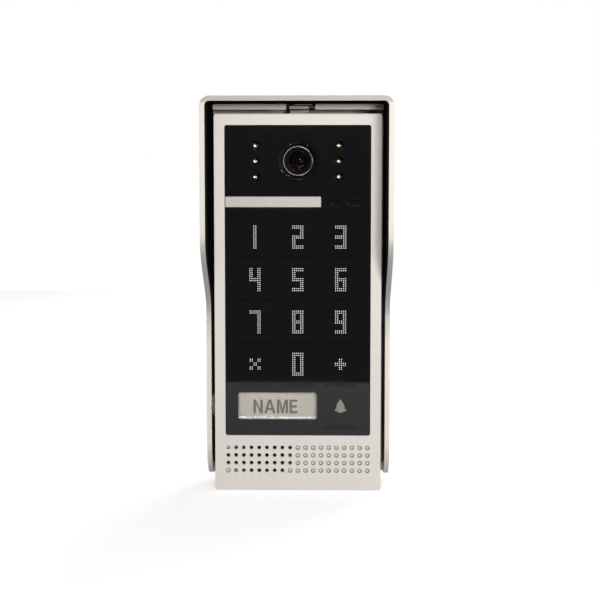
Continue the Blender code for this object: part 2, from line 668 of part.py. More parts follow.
def make_rear_housing(panel):
    half, wall = HOUSING_HALF_WIDTH, HOUSING_WALL
    body = rounded((-half, HOUSING_BOTTOM), (half, HOUSING_TOP), 2 * MM)
    housing = plate("rear_housing", [body], HOUSING_FRONT, HOUSING_REAR)
    rim = rounded((-RIM_HALF_WIDTH, RIM_BOTTOM), (RIM_HALF_WIDTH, RIM_TOP), 0.6 * MM, 2)
    join(housing, plate("housing_rim", [rim], HOUSING_FRONT, RIM_REAR))
    low = (-half + wall, HOUSING_BOTTOM + wall)
    hollow = rounded(low, (half - wall, HOUSING_TOP - wall), 1 * MM, 2)
    cut(housing, plate("housing_hollow", [hollow], -REACH, HOUSING_REAR - HOUSING_BACK))
    reach, front, rear, floor = POCKET
    walls = ((-reach - wall, front - wall, floor - wall), (reach + wall, rear + wall, HOUSING_TOP))
    join(housing, block("hook_pocket_walls", *walls))
    cut(housing, block("hook_pocket", (-reach, front, floor), (reach, rear, REACH)))
    holes = [circle((0, CABLE_Z), GROMMET_HOLE, 24)]
    holes += [circle((side * HOUSING_SCREW[0], HOUSING_SCREW[1]), 1.7 * MM, 12) for side in (-1, 1)]
    holes += [circle(TAMPER, 1.6 * MM, 12), circle(TRIMMER, 2.6 * MM, 16)]
    back = HOUSING_REAR - HOUSING_BACK
    cut(housing, plate("housing_holes", holes, back - 1 * MM, HOUSING_REAR + 1 * MM))
    bore, length = circle((0, LOCK_Y), 1.6 * MM, 12), 8 * MM
    tube = outline_mesh("lock_boss", [circle((0, LOCK_Y), 3.2 * MM, 16), bore], length)
    boss_low = HOUSING_BOTTOM + 0.5 * MM
    join(housing, place_mesh("lock_boss", tube, (0, 0, boss_low + length / 2)))
    screw_way = outline_mesh("lock_way", [bore], 6 * MM)
    cut(housing, place_mesh("lock_way", screw_way, (0, 0, HOUSING_BOTTOM)))
    finish(housing, GREY_PLASTIC, panel)
    inset, seal_rear = 0.6 * MM, HOUSING_FRONT - GAP
    low = (-half + inset, HOUSING_BOTTOM + inset)
    inner = rounded(low, (half - inset, HOUSING_TOP - inset), 1 * MM, 2)
    seal = plate("housing_gasket", [rim, inner], seal_rear - 0.3 * MM, seal_rear)
    finish(seal, RUBBER, panel)


def screw(name, place, head_radius, head, shank_radius, tip, panel, upright=False):
    """A domed screw: head is its two ends along its axis, outer end first; tip ends the shank."""
    outer, inner = head
    rim = outer + 0.35 * (inner - outer)
    points = [(0.0, outer), (0.7 * head_radius, outer), (head_radius, rim), (head_radius, inner)]
    points += [(shank_radius, inner), (shank_radius, tip), (0.0, tip)]
    points.reverse()
    return finish(turned(name, points, place, 14, upright=upright), STEEL, panel, smooth=True)


def make_fasteners(panel):
    head = (HOUSING_REAR + 1.9 * MM, HOUSING_REAR + GAP)
    for number, side in enumerate((-1, 1), start=1):
        place = (side * HOUSING_SCREW[0], HOUSING_SCREW[1])
        screw(f"housing_screw_{number}", place, 2.7 * MM, head, 1.2 * MM, FRAME_REAR - 4 * MM, panel)
    tab_low = -HOOD_HEIGHT / 2 - TAB_THICKNESS
    lock = (tab_low - 1.9 * MM, tab_low - 0.6 * MM)
    screw("lock_screw", (0.0, LOCK_Y), 3.0 * MM, lock, 1.3 * MM, HOUSING_BOTTOM + 7 * MM, panel, True)


def make_cable_grommet(panel):
    wall_in, wall_out = HOUSING_REAR - HOUSING_BACK, HOUSING_REAR
    neck, flange, bore = GROMMET_HOLE - GAP, GROMMET_HOLE + 1.6 * MM, GROMMET_BORE
    inside, outside, lip = wall_in - GAP, wall_out + GAP, 0.9 * MM
    front, rear = inside - lip, outside + lip
    points = [(flange, front), (flange, inside), (neck, inside), (neck, outside)]
    points += [(flange, outside), (flange, rear), (bore, rear), (bore, front)]
    grommet = turned("cable_grommet", points, (0, CABLE_Z), 20, closed=True)
    finish(grommet, RUBBER, panel, smooth=True)


def make_electronics(panel):
    outline = rounded((-BOARD_HALF, -63 * MM), (BOARD_HALF, 41 * MM), 1.5 * MM)
    finish(plate("main_board", [outline], BOARD_FRONT, BOARD_REAR), BOARD_GREEN, panel)
    back = BOARD_REAR + GAP
    shield = block("video_processor", (-12 * MM, back, -24 * MM), (12 * MM, back + 2.2 * MM, -4 * MM))
    finish(bevel(shield, 0.3 * MM, 1), STEEL, panel)
    block_low, block_high = (-15 * MM, back, 2 * MM), (15 * MM, back + 7.6 * MM, 11.5 * MM)
    terminals = block("terminal_block", block_low, block_high)
    half_way, entry_foot, entry_front, entry_rear = 1.5 * MM, 8 * MM, -13 * MM, -10 * MM
    for number in range(TERMINALS):
        x = (number - (TERMINALS - 1) / 2) * TERMINAL_PITCH
        low, high = (x - half_way, entry_front, entry_foot), (x + half_way, entry_rear, REACH)
        cut(terminals, block(f"wire_entry_{number}", low, high))
    finish(terminals, TERMINAL_GREEN, panel)
    relay = block("lock_relay", (-27 * MM, back, -24 * MM), (-17 * MM, back + 7 * MM, -9 * MM))
    finish(bevel(relay, 0.4 * MM, 1), BLACK_PLASTIC, panel)
    radius, tip, edge = 4 * MM, back + 8 * MM, 0.3 * MM
    can = [(0.0, back), (radius, back), (radius, tip - edge), (radius - edge, tip), (0.0, tip)]
    finish(turned("capacitor", can, CAPACITOR, 16), BLACK_PLASTIC, panel, smooth=True)


def make_tamper_switch(panel):
    """A plunger switch that opens when the panel leaves the wall."""
    x, z = TAMPER
    back = BOARD_REAR + GAP
    top = HOUSING_REAR - 3.2 * MM
    half = 3 * MM
    body = block("tamper_switch", (x - half, back, z - half), (x + half, top, z + half))
    cut(body, plate("plunger_well", [circle(TAMPER, 1.5 * MM, 12)], top - 3.2 * MM, top + 1 * MM))
    finish(body, BLACK_PLASTIC, panel)
    moving = pivot("plunger_axis", (x, HOUSING_REAR, z), panel)
    tip, foot = -HOOD_WALL - 0.4 * MM, top - 1.4 * MM
    radius, edge = 1.2 * MM, 0.4 * MM
    points = [(0.0, foot), (radius, foot), (radius, tip - edge), (radius - edge, tip), (0.0, tip)]
    finish(turned("tamper_plunger", points, TAMPER, 12), RUBBER, moving, smooth=True)


def make_volume_trimmer(panel):
    """The speaker's volume trimmer, turned with a screwdriver through the housing's hole."""
    x, z = TRIMMER
    back, top = BOARD_REAR + GAP, HOUSING_REAR - 4.4 * MM
    half, well = 3.5 * MM, ROTOR_RADIUS + GAP
    body = block("trimmer_body", (x - half, back, z - half), (x + half, top, z + half))
    cut(body, plate("rotor_well", [circle(TRIMMER, well, 16)], top - 1.4 * MM, top + 1 * MM))
    finish(body, BLACK_PLASTIC, panel)
    turning = pivot("trimmer_axis", (x, top, z), panel)
    outer, foot = top + 0.8 * MM, top - 1.1 * MM
    points = [(0.0, foot), (ROTOR_RADIUS, foot), (ROTOR_RADIUS, outer), (0.0, outer)]
    rotor = turned("trimmer_rotor", points, TRIMMER, 20)
    long, wide = ROTOR_RADIUS - 0.4 * MM, 0.4 * MM
    low, high = (x - long, outer - 0.7 * MM, z - wide), (x + long, outer + 1 * MM, z + wide)
    cut(rotor, block("driver_groove", low, high))
    finish(rotor, WHITE, turning, smooth=True)


# --- Camera on its pan and tilt mount ---------------------------------------------------------


def make_camera(panel):
    shelf_low, shelf_high, hinge_y = SHELF_TOP - SHELF_SHEET, SHELF_TOP, LENS.y
    rear = HOUSING_REAR - HOUSING_BACK - GAP
    inner, front = rear - SHELF_SHEET, hinge_y - 5 * MM
    side = [(rear, SHELF_FOOT), (rear, shelf_high), (front, shelf_high), (front, shelf_low)]
    side += [(inner, shelf_low), (inner, SHELF_FOOT)]
    shelf = profile("camera_shelf", side, -SHELF_HALF, SHELF_HALF)
    hole = outline_mesh("pan_hole", [circle((0, hinge_y), 1.8 * MM, 16)], 4 * MM)
    cut(shelf, place_mesh("pan_hole", hole, (0, 0, shelf_low)))
    clear_grommet = circle((0, CABLE_Z), GROMMET_HOLE + 2.2 * MM, 20)
    cut(shelf, plate("shelf_relief", [clear_grommet], inner - 1 * MM, 0.0))
    finish(shelf, STEEL, panel)

    pan = pivot("pan_axis", (0, hinge_y, shelf_high), panel)
    plate_low, plate_high = SHELF_TOP + 0.5 * MM, SHELF_TOP + 1.9 * MM
    arm_in, arm_out = YOKE_HALF - YOKE_WALL, YOKE_HALF
    arm_top = LENS.z + 3 * MM
    cradle = [(-arm_out, arm_top), (-arm_out, plate_low), (arm_out, plate_low), (arm_out, arm_top)]
    cradle += [(arm_in, arm_top), (arm_in, plate_high), (-arm_in, plate_high), (-arm_in, arm_top)]
    yoke = plate("camera_yoke", [cradle], hinge_y - HEAD_HALF_DEPTH, hinge_y + HEAD_HALF_DEPTH)
    length = 4 * MM
    stud = outline_mesh("pan_stud", [circle((0, hinge_y), 1.5 * MM, 16)], length)
    join(yoke, place_mesh("pan_stud", stud, (0, 0, plate_low + 0.6 * MM - length / 2)))
    cut(yoke, across("yoke_bores", TILT_PIN + GAP, YOKE_HALF + 2.5 * MM))
    finish(yoke, BLACK_PLASTIC, pan)

    tilt = pivot("camera_tilt_axis", LENS, pan)
    front, back = hinge_y - HEAD_HALF_DEPTH, hinge_y + HEAD_HALF_DEPTH
    wide, half = arm_in - 2 * GAP, HEAD_HALF_HEIGHT
    low, high = (-wide, front, LENS.z - half), (wide, back, LENS.z + half)
    head = bevel(block("camera_head", low, high), 0.6 * MM)
    join(head, across("tilt_pins", TILT_PIN, YOKE_HALF))
    finish(head, BLACK_PLASTIC, tilt)
    chip = centred((0, LENS.z), CAMERA_BOARD, 0.5 * MM, 1)
    finish(plate("camera_board", [chip], back + GAP, back + 1.5 * MM), BOARD_GREEN, tilt)
    axis = (LENS.x, LENS.z)
    lip, seat, foot = BARREL_LIP, BARREL_LIP + 1.1 * MM, front - GAP
    bore, outer = GLASS_RADIUS + 0.4 * MM, 6.2 * MM
    barrel = [(0.0, seat), (bore, seat), (bore, lip), (outer, lip), (outer, foot), (0.0, foot)]
    finish(turned("lens_barrel", barrel, axis, 28), BLACK_PLASTIC, tilt, smooth=True)
    tip, rim, ring_rear = lip - 0.7 * MM, 6.75 * MM, lip - GAP
    ring = [(5.5 * MM, tip), (rim, tip + 0.2 * MM), (rim, ring_rear), (5.0 * MM, ring_rear)]
    finish(turned("lens_ring", ring, axis, 28, closed=True), STEEL, tilt, smooth=True)
    crown, rise, glass_rear = lip - 0.5 * MM, 1.0 * MM, seat - GAP
    turns = [radians(angle) for angle in (0, 30, 60, 90)]
    bulge = [(GLASS_RADIUS * sin(turn), crown + rise * (1 - cos(turn))) for turn in turns]
    element = bulge + [(GLASS_RADIUS, glass_rear), (0.0, glass_rear)]
    finish(turned("lens_glass", element, axis, 28), CLEAR, tilt, smooth=True)


def across(name, radius, reach):
    """A rod along X through the camera's tilt axis."""
    mesh = outline_mesh(name, [circle((LENS.y, LENS.z), radius, 14)], 2 * reach)
    return place_mesh(name, mesh, (0, 0, 0), (pi / 2, 0, pi / 2))


def main():
    make_rain_hood()
    make_hood_liner()
    make_hook()
    panel = pivot("panel_tilt_axis", TILT_AXIS)
    make_front_frame(panel)
    make_front_window(panel)
    make_lights(panel)
    make_touch_board(panel)
    make_name_card(panel)
    make_speaker(panel)
    make_rear_housing(panel)
    make_fasteners(panel)
    make_cable_grommet(panel)
    make_electronics(panel)
    make_tamper_switch(panel)
    make_volume_trimmer(panel)
    make_camera(panel)


main()
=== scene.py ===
import json
import math

import bmesh
import bpy
from mathutils import Matrix, Vector

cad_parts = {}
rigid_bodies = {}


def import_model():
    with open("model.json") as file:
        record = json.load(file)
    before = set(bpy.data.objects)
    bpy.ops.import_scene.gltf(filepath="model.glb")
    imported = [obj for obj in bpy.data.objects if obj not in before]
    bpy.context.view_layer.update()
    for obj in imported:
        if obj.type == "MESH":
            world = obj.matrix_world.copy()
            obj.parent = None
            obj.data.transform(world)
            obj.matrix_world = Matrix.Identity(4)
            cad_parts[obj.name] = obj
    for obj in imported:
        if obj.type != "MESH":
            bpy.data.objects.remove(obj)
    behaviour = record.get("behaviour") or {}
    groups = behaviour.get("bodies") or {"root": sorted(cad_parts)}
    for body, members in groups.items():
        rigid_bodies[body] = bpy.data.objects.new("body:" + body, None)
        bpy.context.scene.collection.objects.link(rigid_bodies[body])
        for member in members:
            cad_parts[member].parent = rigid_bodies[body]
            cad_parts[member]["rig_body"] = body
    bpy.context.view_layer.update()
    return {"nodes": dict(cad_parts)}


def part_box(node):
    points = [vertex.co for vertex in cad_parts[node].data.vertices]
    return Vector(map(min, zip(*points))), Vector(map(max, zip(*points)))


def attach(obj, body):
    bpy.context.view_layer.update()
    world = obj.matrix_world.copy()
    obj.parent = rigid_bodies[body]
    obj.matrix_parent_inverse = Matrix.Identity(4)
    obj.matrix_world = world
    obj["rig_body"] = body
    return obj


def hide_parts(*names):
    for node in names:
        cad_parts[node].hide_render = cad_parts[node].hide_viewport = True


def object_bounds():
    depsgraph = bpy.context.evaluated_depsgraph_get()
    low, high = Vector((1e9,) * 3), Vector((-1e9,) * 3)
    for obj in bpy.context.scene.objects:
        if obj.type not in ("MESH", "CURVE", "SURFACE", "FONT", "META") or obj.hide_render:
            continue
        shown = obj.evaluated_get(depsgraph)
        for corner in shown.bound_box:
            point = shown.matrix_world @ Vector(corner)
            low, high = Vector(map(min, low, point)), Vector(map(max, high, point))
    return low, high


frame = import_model()
slot_of = {name: node.data.materials[0].name for name, node in frame["nodes"].items()}
for plain in list(bpy.data.materials):
    bpy.data.materials.remove(plain)

MM = 0.001
LOWEST, HIGHEST = 0, 1


def edge_of(node, axis, end):
    """One side of a CAD node's box, in millimetres."""
    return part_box(node)[end]["xyz".index(axis)] / MM


def middle_of(node):
    low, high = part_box(node)
    return (low + high) / 2 / MM


PANE_FRONT = edge_of("front_window", "y", LOWEST)
FRAME_FRONT = edge_of("front_frame", "y", LOWEST)
LENS_AXIS = middle_of("camera_window")
CARD_FRONT = edge_of("name_card", "y", LOWEST)

# ---------------------------------------------------------------- finishes


class Finish:
    """A material: a Principled shader and the procedural nodes that feed it. Sizes in millimetres."""

    def __init__(self, name, colour, roughness, metallic=0.0, **fixed):
        self.material = bpy.data.materials.new(name)
        self.material.use_nodes = True
        self.tree = self.material.node_tree
        self.shader = self.tree.nodes["Principled BSDF"]
        self.shader.inputs["Base Color"].default_value = (*colour, 1.0)
        self.shader.inputs["Roughness"].default_value = roughness
        self.shader.inputs["Metallic"].default_value = metallic
        for socket, value in fixed.items():
            self.shader.inputs[socket.replace("_", " ")].default_value = value
        self.place = self.node("TexCoord").outputs["Object"]

    def node(self, kind, **settings):
        made = self.tree.nodes.new("ShaderNode" + kind)
        for name, value in settings.items():
            setattr(made, name, value)
        return made

    def feed(self, socket, source):
        """Sets a socket to a value, or links it to another node's output."""
        if isinstance(source, bpy.types.NodeSocket):
            self.tree.links.new(source, socket)
        else:
            socket.default_value = source

    def stretched(self, stretch):
        if stretch == (1, 1, 1):
            return self.place
        mapping = self.node("Mapping")
        self.feed(mapping.inputs["Vector"], self.place)
        mapping.inputs["Scale"].default_value = stretch
        return mapping.outputs["Vector"]

    def noise(self, size, detail=2.0, stretch=(1, 1, 1)):
        made = self.node("TexNoise")
        self.feed(made.inputs["Vector"], self.stretched(stretch))
        made.inputs["Scale"].default_value = 1 / (size * MM)
        made.inputs["Detail"].default_value = detail
        return made.outputs["Fac"]

    def cells(self, size, output="Distance", stretch=(1, 1, 1)):
        made = self.node("TexVoronoi")
        self.feed(made.inputs["Vector"], self.stretched(stretch))
        made.inputs["Scale"].default_value = 1 / (size * MM)
        return made.outputs[output]

    def bands(self, size, direction, distortion=0.0):
        made = self.node("TexWave", wave_type="BANDS", bands_direction=direction)
        self.feed(made.inputs["Vector"], self.place)
        made.inputs["Scale"].default_value = math.pi / 10 / (size * MM)
        made.inputs["Distortion"].default_value = distortion
        return made.outputs["Fac"]

    def ranged(self, source, start, end, low=0.0, high=1.0):
        made = self.node("MapRange")
        for socket, value in (("Value", source), ("From Min", start), ("From Max", end),
                              ("To Min", low), ("To Max", high)):
            self.feed(made.inputs[socket], value)
        return made.outputs["Result"]

    def times(self, one, other):
        made = self.node("Math", operation="MULTIPLY")
        self.feed(made.inputs[0], one)
        self.feed(made.inputs[1], other)
        return made.outputs[0]

    def tint(self, share, colour):
        """Mixes a second colour over what the base colour is so far."""
        base = self.shader.inputs["Base Color"]
        mix = self.node("Mix", data_type="RGBA")
        first, second = [s for s in mix.inputs if s.type == "RGBA"]
        self.feed(mix.inputs["Factor"], share)
        self.feed(first, base.links[0].from_socket if base.is_linked else tuple(base.default_value))
        self.feed(second, (*colour, 1.0))
        self.feed(base, [s for s in mix.outputs if s.type == "RGBA"][0])
        return self

    def gloss(self, source, low, high):
        """Roughness from low to high as the source goes from dark to light."""
        self.feed(self.shader.inputs["Roughness"], self.ranged(source, 0.3, 0.7, low, high))
        return self

    def relief(self, source, depth):
        """Bump of that depth in millimetres, over any bump there is already."""
        normal = self.shader.inputs["Normal"]
        bump = self.node("Bump")
        self.feed(bump.inputs["Height"], source)
        bump.inputs["Distance"].default_value = depth * MM
        if normal.is_linked:
            self.feed(bump.inputs["Normal"], normal.links[0].from_socket)
        self.feed(normal, bump.outputs["Normal"])
        return self

    def rubbed_and_lit_edges(self, radius, colour, share):
        """Lighter or darker along the edges, broken up by noise: partly rubbed wear, partly a painted
        edge highlight.
        """
        rounded = self.node("Bevel", samples=4)
        rounded.inputs["Radius"].default_value = radius * MM
        flat = self.node("NewGeometry").outputs["Normal"]
        across = self.node("VectorMath", operation="DOT_PRODUCT")
        self.feed(across.inputs[0], rounded.outputs["Normal"])
        self.feed(across.inputs[1], flat)
        near = self.ranged(across.outputs["Value"], 0.995, 0.9)
        broken = self.ranged(self.noise(radius * 5, 3.0), 0.35, 0.65, 0.2, 1.0)
        return self.tint(self.times(self.times(near, broken), share), colour)

    def specks(self, cell, radius, keep, colour):
        """Separate specks of one radius, in a share of the cells."""
        near = self.ranged(self.cells(cell), radius / cell, radius / cell * 0.6)
        chosen = self.ranged(self.cells(cell, "Color"), 1 - keep, 1 - keep + 0.01)
        return self.tint(self.times(near, chosen), colour)


# Colour of the painted shade on the hood's roof edge and sweep.
PAINTED_SHADE_SILVER = (0.36, 0.335, 0.31)
ROOF_EDGE = (82.6, 83.4)
SWEEP_TOP, SWEEP_FOOT = (30, 16), (-24, -9)


def silver_coating(name, colour, shaded_front=False):
    """Satin powder coat; with shaded_front, painted shade darkens the front faces of the roof's edge
    and the downward sweep.
    """
    paint = Finish(name, colour, 0.5, 0.2)
    grain = paint.noise(0.16, 1.0)
    paint.tint(paint.ranged(grain, 0.52, 0.75, 0.0, 0.30), (0.40, 0.38, 0.36))
    paint.tint(paint.ranged(grain, 0.46, 0.25, 0.0, 0.45), (0.92, 0.89, 0.85))
    paint.tint(paint.ranged(paint.noise(28, 3.0), 0.4, 0.75, 0.0, 0.10), (0.52, 0.50, 0.48))
    if shaded_front:
        height = paint.node("SeparateXYZ")
        paint.feed(height.inputs[0], paint.place)
        side = paint.node("SeparateXYZ")
        paint.feed(side.inputs[0], paint.node("NewGeometry").outputs["Normal"])
        front = paint.ranged(side.outputs["Y"], -0.1, -0.5)
        z = height.outputs["Z"]
        roof = paint.ranged(z, ROOF_EDGE[0] * MM, ROOF_EDGE[1] * MM, 0.0, 0.85)
        sweep = paint.times(paint.ranged(z, SWEEP_TOP[0] * MM, SWEEP_TOP[1] * MM),
                            paint.ranged(z, SWEEP_FOOT[0] * MM, SWEEP_FOOT[1] * MM))
        # Painted shade: the roof's front edge and the sweep are darkened to stand in for the light they
        # miss.
        paint.tint(paint.times(front, roof), PAINTED_SHADE_SILVER)
        paint.tint(paint.times(front, paint.times(sweep, 0.75)), PAINTED_SHADE_SILVER)
    # Lighter edges: rubbed wear and a painted edge highlight.
    paint.rubbed_and_lit_edges(0.35, (0.88, 0.86, 0.83), 0.2 if shaded_front else 0.5)
    paint.gloss(paint.noise(0.3), 0.46, 0.60)
    return paint.relief(grain, 0.006).relief(paint.noise(0.7), 0.010).material


def black_acrylic():
    pane = Finish("black_acrylic", (0.0045, 0.0048, 0.0062), 0.03, IOR=1.49, Specular_IOR_Level=0.31)
    pane.specks(5.5, 0.13, 0.10, (0.28, 0.27, 0.25))
    pane.tint(pane.ranged(pane.noise(9, 3.0), 0.6, 0.8, 0.0, 0.25), (0.012, 0.012, 0.013))
    # Lighter edges: rubbed wear and a painted edge highlight.
    pane.rubbed_and_lit_edges(0.25, (0.05, 0.05, 0.05), 0.6)
    pane.gloss(pane.noise(7, 4.0), 0.015, 0.05)
    return pane.relief(pane.noise(26), 0.004).material


def black_liner():
    film = Finish("black_liner", (0.006, 0.0057, 0.0054), 0.9, Specular_IOR_Level=0.0)
    fibre = film.noise(0.35, 3.0, (1, 0.35, 1))
    film.tint(film.ranged(fibre, 0.45, 0.8), (0.014, 0.013, 0.012))
    film.gloss(fibre, 0.8, 0.96)
    return film.relief(fibre, 0.03).relief(film.noise(6), 0.05).material


def black_plastic():
    moulding = Finish("black_plastic", (0.016, 0.016, 0.017), 0.5)
    grain = moulding.noise(0.2, 2.0)
    moulding.tint(moulding.ranged(grain, 0.5, 0.8), (0.035, 0.035, 0.036))
    # Lighter edges: rubbed wear and a painted edge highlight.
    moulding.rubbed_and_lit_edges(0.2, (0.07, 0.07, 0.07), 0.6)
    moulding.gloss(grain, 0.42, 0.62)
    return moulding.relief(grain, 0.012).material


def grey_housing():
    moulding = Finish("grey_housing", (0.105, 0.105, 0.11), 0.6)
    grain = moulding.noise(0.25, 3.0)
    moulding.tint(moulding.ranged(grain, 0.45, 0.8), (0.16, 0.16, 0.165))
    moulding.tint(moulding.ranged(moulding.noise(18, 3.0), 0.45, 0.8, 0.0, 0.5), (0.085, 0.085, 0.09))
    # Lighter edges: rubbed wear and a painted edge highlight.
    moulding.rubbed_and_lit_edges(0.3, (0.26, 0.26, 0.26), 0.5)
    moulding.gloss(grain, 0.5, 0.7)
    return moulding.relief(grain, 0.02).material


def clear_plastic():
    clear = Finish("clear_plastic", (0.93, 0.945, 0.94), 0.02, IOR=1.49, Transmission_Weight=1.0)
    clear.tint(clear.ranged(clear.noise(1.6, 3.0), 0.55, 0.8, 0.0, 0.2), (0.80, 0.82, 0.80))
    clear.gloss(clear.noise(3, 3.0), 0.01, 0.05)
    return clear.relief(clear.noise(5), 0.004).material


def smoked_plastic():
    smoked = Finish("smoked_plastic", (0.03, 0.03, 0.03), 0.02, IOR=1.49, Transmission_Weight=1.0,
                    Specular_IOR_Level=0.3)
    smoked.tint(smoked.ranged(smoked.noise(0.7, 3.0), 0.5, 0.8), (0.015, 0.015, 0.015))
    smoked.gloss(smoked.noise(0.8), 0.01, 0.06)
    return smoked.relief(smoked.noise(0.9), 0.003).material


def coated_glass(name, colour):
    glass = Finish(name, colour, 0.01, IOR=1.15, Transmission_Weight=1.0, Specular_IOR_Level=0.4)
    darker = tuple(channel * 0.8 for channel in colour)
    glass.tint(glass.ranged(glass.noise(1.2, 2.0), 0.5, 0.8), darker)
    return glass.gloss(glass.noise(2), 0.0, 0.008).material


def lens_black():
    baffle = Finish("lens_black", (0.003, 0.003, 0.003), 0.5, Specular_IOR_Level=0.04)
    grain = baffle.noise(0.15, 2.0)
    baffle.tint(baffle.ranged(grain, 0.5, 0.8), (0.008, 0.0075, 0.007))
    baffle.gloss(grain, 0.42, 0.6)
    return baffle.relief(grain, 0.004).material


def emitter_lens():
    epoxy = Finish("emitter_lens", (0.24, 0.22, 0.16), 0.02, IOR=1.52, Transmission_Weight=1.0)
    epoxy.tint(epoxy.ranged(epoxy.noise(0.8, 3.0), 0.5, 0.8), (0.17, 0.155, 0.105))
    epoxy.gloss(epoxy.noise(0.6), 0.01, 0.06)
    return epoxy.relief(epoxy.noise(0.9), 0.004).material


def white_diffuser():
    guide = Finish("white_diffuser", (0.40, 0.39, 0.365), 0.5)
    cloud = guide.noise(2.5, 3.0)
    guide.tint(guide.ranged(cloud, 0.4, 0.8), (0.33, 0.32, 0.29))
    guide.gloss(cloud, 0.42, 0.6)
    return guide.relief(guide.noise(0.25), 0.006).material


def card():
    paper = Finish("card", (0.235, 0.219, 0.198), 0.85, Specular_IOR_Level=0.1,
                   Emission_Color=(0.62, 0.58, 0.52, 1.0), Emission_Strength=0.05)
    fibre = paper.noise(0.4, 4.0, (1, 1, 2.5))
    paper.tint(paper.ranged(fibre, 0.5, 0.8), (0.20, 0.186, 0.168))
    paper.tint(paper.ranged(paper.noise(11), 0.4, 0.7, 0.0, 0.35), (0.265, 0.25, 0.228))
    paper.gloss(fibre, 0.8, 0.92)
    return paper.relief(fibre, 0.012).material


def card_ink():
    ink = Finish("card_ink", (0.075, 0.068, 0.067), 0.6, Specular_IOR_Level=0.1)
    fibre = ink.noise(0.4, 4.0, (1, 1, 2.5))
    ink.tint(ink.ranged(fibre, 0.45, 0.75), (0.095, 0.087, 0.085))
    ink.gloss(fibre, 0.5, 0.7)
    return ink.relief(fibre, 0.008).material


def lit_dot():
    glow = Finish("lit_dot", (0.55, 0.51, 0.47), 0.12, Emission_Color=(1.0, 0.93, 0.87, 1.0),
                  Emission_Strength=0.6)
    uneven = glow.noise(1.1, 1.0)
    glow.tint(glow.ranged(uneven, 0.4, 0.7), (0.40, 0.37, 0.34))
    glow.gloss(uneven, 0.08, 0.2)
    return glow.relief(uneven, 0.003).material


def dark_dot():
    mask = Finish("dark_dot", (0.0012, 0.0012, 0.0012), 0.12, Specular_IOR_Level=0.0)
    uneven = mask.noise(0.9, 1.0)
    mask.tint(mask.ranged(uneven, 0.4, 0.8), (0.003, 0.003, 0.003))
    mask.gloss(uneven, 0.08, 0.25)
    return mask.relief(uneven, 0.002).material


def flex():
    film = Finish("flex", (0.36, 0.17, 0.035), 0.35)
    tracks = film.bands(0.8, "X")
    film.tint(film.ranged(tracks, 0.45, 0.55, 0.0, 0.7), (0.55, 0.27, 0.08))
    film.gloss(film.noise(2), 0.28, 0.42)
    return film.relief(tracks, 0.02).material


def rubber(name, colour, dusty, low, high):
    soft = Finish(name, colour, (low + high) / 2)
    dust = soft.noise(1.5, 4.0)
    soft.tint(soft.ranged(dust, 0.5, 0.8, 0.0, 0.6), dusty)
    soft.gloss(dust, low, high)
    return soft.relief(soft.noise(0.2), 0.012).material


def circuit_board():
    board = Finish("circuit_board", (0.006, 0.055, 0.02), 0.3)
    weave = board.bands(0.5, "X")
    tracks = board.cells(3.2, stretch=(1, 1, 0.45))
    board.tint(board.ranged(tracks, 0.30, 0.34, 0.0, 0.7), (0.02, 0.16, 0.06))
    board.specks(2.6, 0.35, 0.45, (0.62, 0.60, 0.55))
    board.gloss(board.noise(3), 0.24, 0.4)
    return board.relief(tracks, 0.03).relief(weave, 0.005).material


def metal(name, colour, low, high):
    sheet = Finish(name, colour, low, 1.0)
    drawn = sheet.noise(0.3, 3.0, (0.08, 1, 1))
    darker = tuple(channel * 0.72 for channel in colour)
    sheet.tint(sheet.ranged(drawn, 0.45, 0.8, 0.0, 0.6), darker)
    # Lighter edges: rubbed wear and a painted edge highlight.
    sheet.rubbed_and_lit_edges(0.15, tuple(min(1.0, channel * 1.3) for channel in colour), 0.5)
    sheet.gloss(drawn, low, high)
    return sheet.relief(drawn, 0.006).material


def terminal_green():
    moulding = Finish("terminal_green", (0.03, 0.24, 0.09), 0.4)
    grain = moulding.noise(0.3, 2.0)
    moulding.tint(moulding.ranged(grain, 0.5, 0.8), (0.05, 0.32, 0.13))
    # Lighter edges: rubbed wear and a painted edge highlight.
    moulding.rubbed_and_lit_edges(0.2, (0.12, 0.42, 0.2), 0.5)
    moulding.gloss(grain, 0.34, 0.5)
    return moulding.relief(grain, 0.01).material


FINISHES = {
    "silver_coating": silver_coating("silver_coating", (0.61, 0.572, 0.53)),
    "black_acrylic": black_acrylic(),
    "black_liner": black_liner(),
    "black_plastic": black_plastic(),
    "grey_housing": grey_housing(),
    "clear_plastic": clear_plastic(),
    "emitter_lens": emitter_lens(),
    "white_diffuser": white_diffuser(),
    "card": card(),
    "flex": flex(),
    "rubber": rubber("rubber", (0.022, 0.022, 0.023), (0.06, 0.058, 0.055), 0.65, 0.85),
    "circuit_board": circuit_board(),
    "steel": metal("steel", (0.56, 0.56, 0.57), 0.28, 0.42),
    "spring_steel": metal("spring_steel", (0.22, 0.21, 0.20), 0.42, 0.55),
    "terminal_green": terminal_green(),
}
LIT_DOT, DARK_DOT, CARD_INK = lit_dot(), dark_dot(), card_ink()
# The hood's coat, with painted shade on its roof edge and sweep.
HOOD_COATING = silver_coating("hood_coating", (0.64, 0.60, 0.556), True)
TRIM = silver_coating("trim_coating", (0.42, 0.395, 0.37))
# Painted shade: a dark copy of the silver coat, laid on the dimples' walls where shade falls in the
# hollows.
DIMPLE_SHADE = silver_coating("dimple_shade_coating", (0.17, 0.16, 0.15))
PALE_RUBBER = rubber("pale_rubber", (0.50, 0.48, 0.45), (0.40, 0.38, 0.36), 0.6, 0.8)
SMOKED, LENS_BLACK = smoked_plastic(), lens_black()
COATED = coated_glass("coated_glass", (0.34, 0.30, 0.34))
WINDOW_GLASS = coated_glass("window_glass", (0.72, 0.70, 0.70))
NAME_GLASS = coated_glass("name_glass", (0.96, 0.96, 0.95))
DARK_CHROME = metal("dark_chrome", (0.34, 0.29, 0.27), 0.10, 0.2)


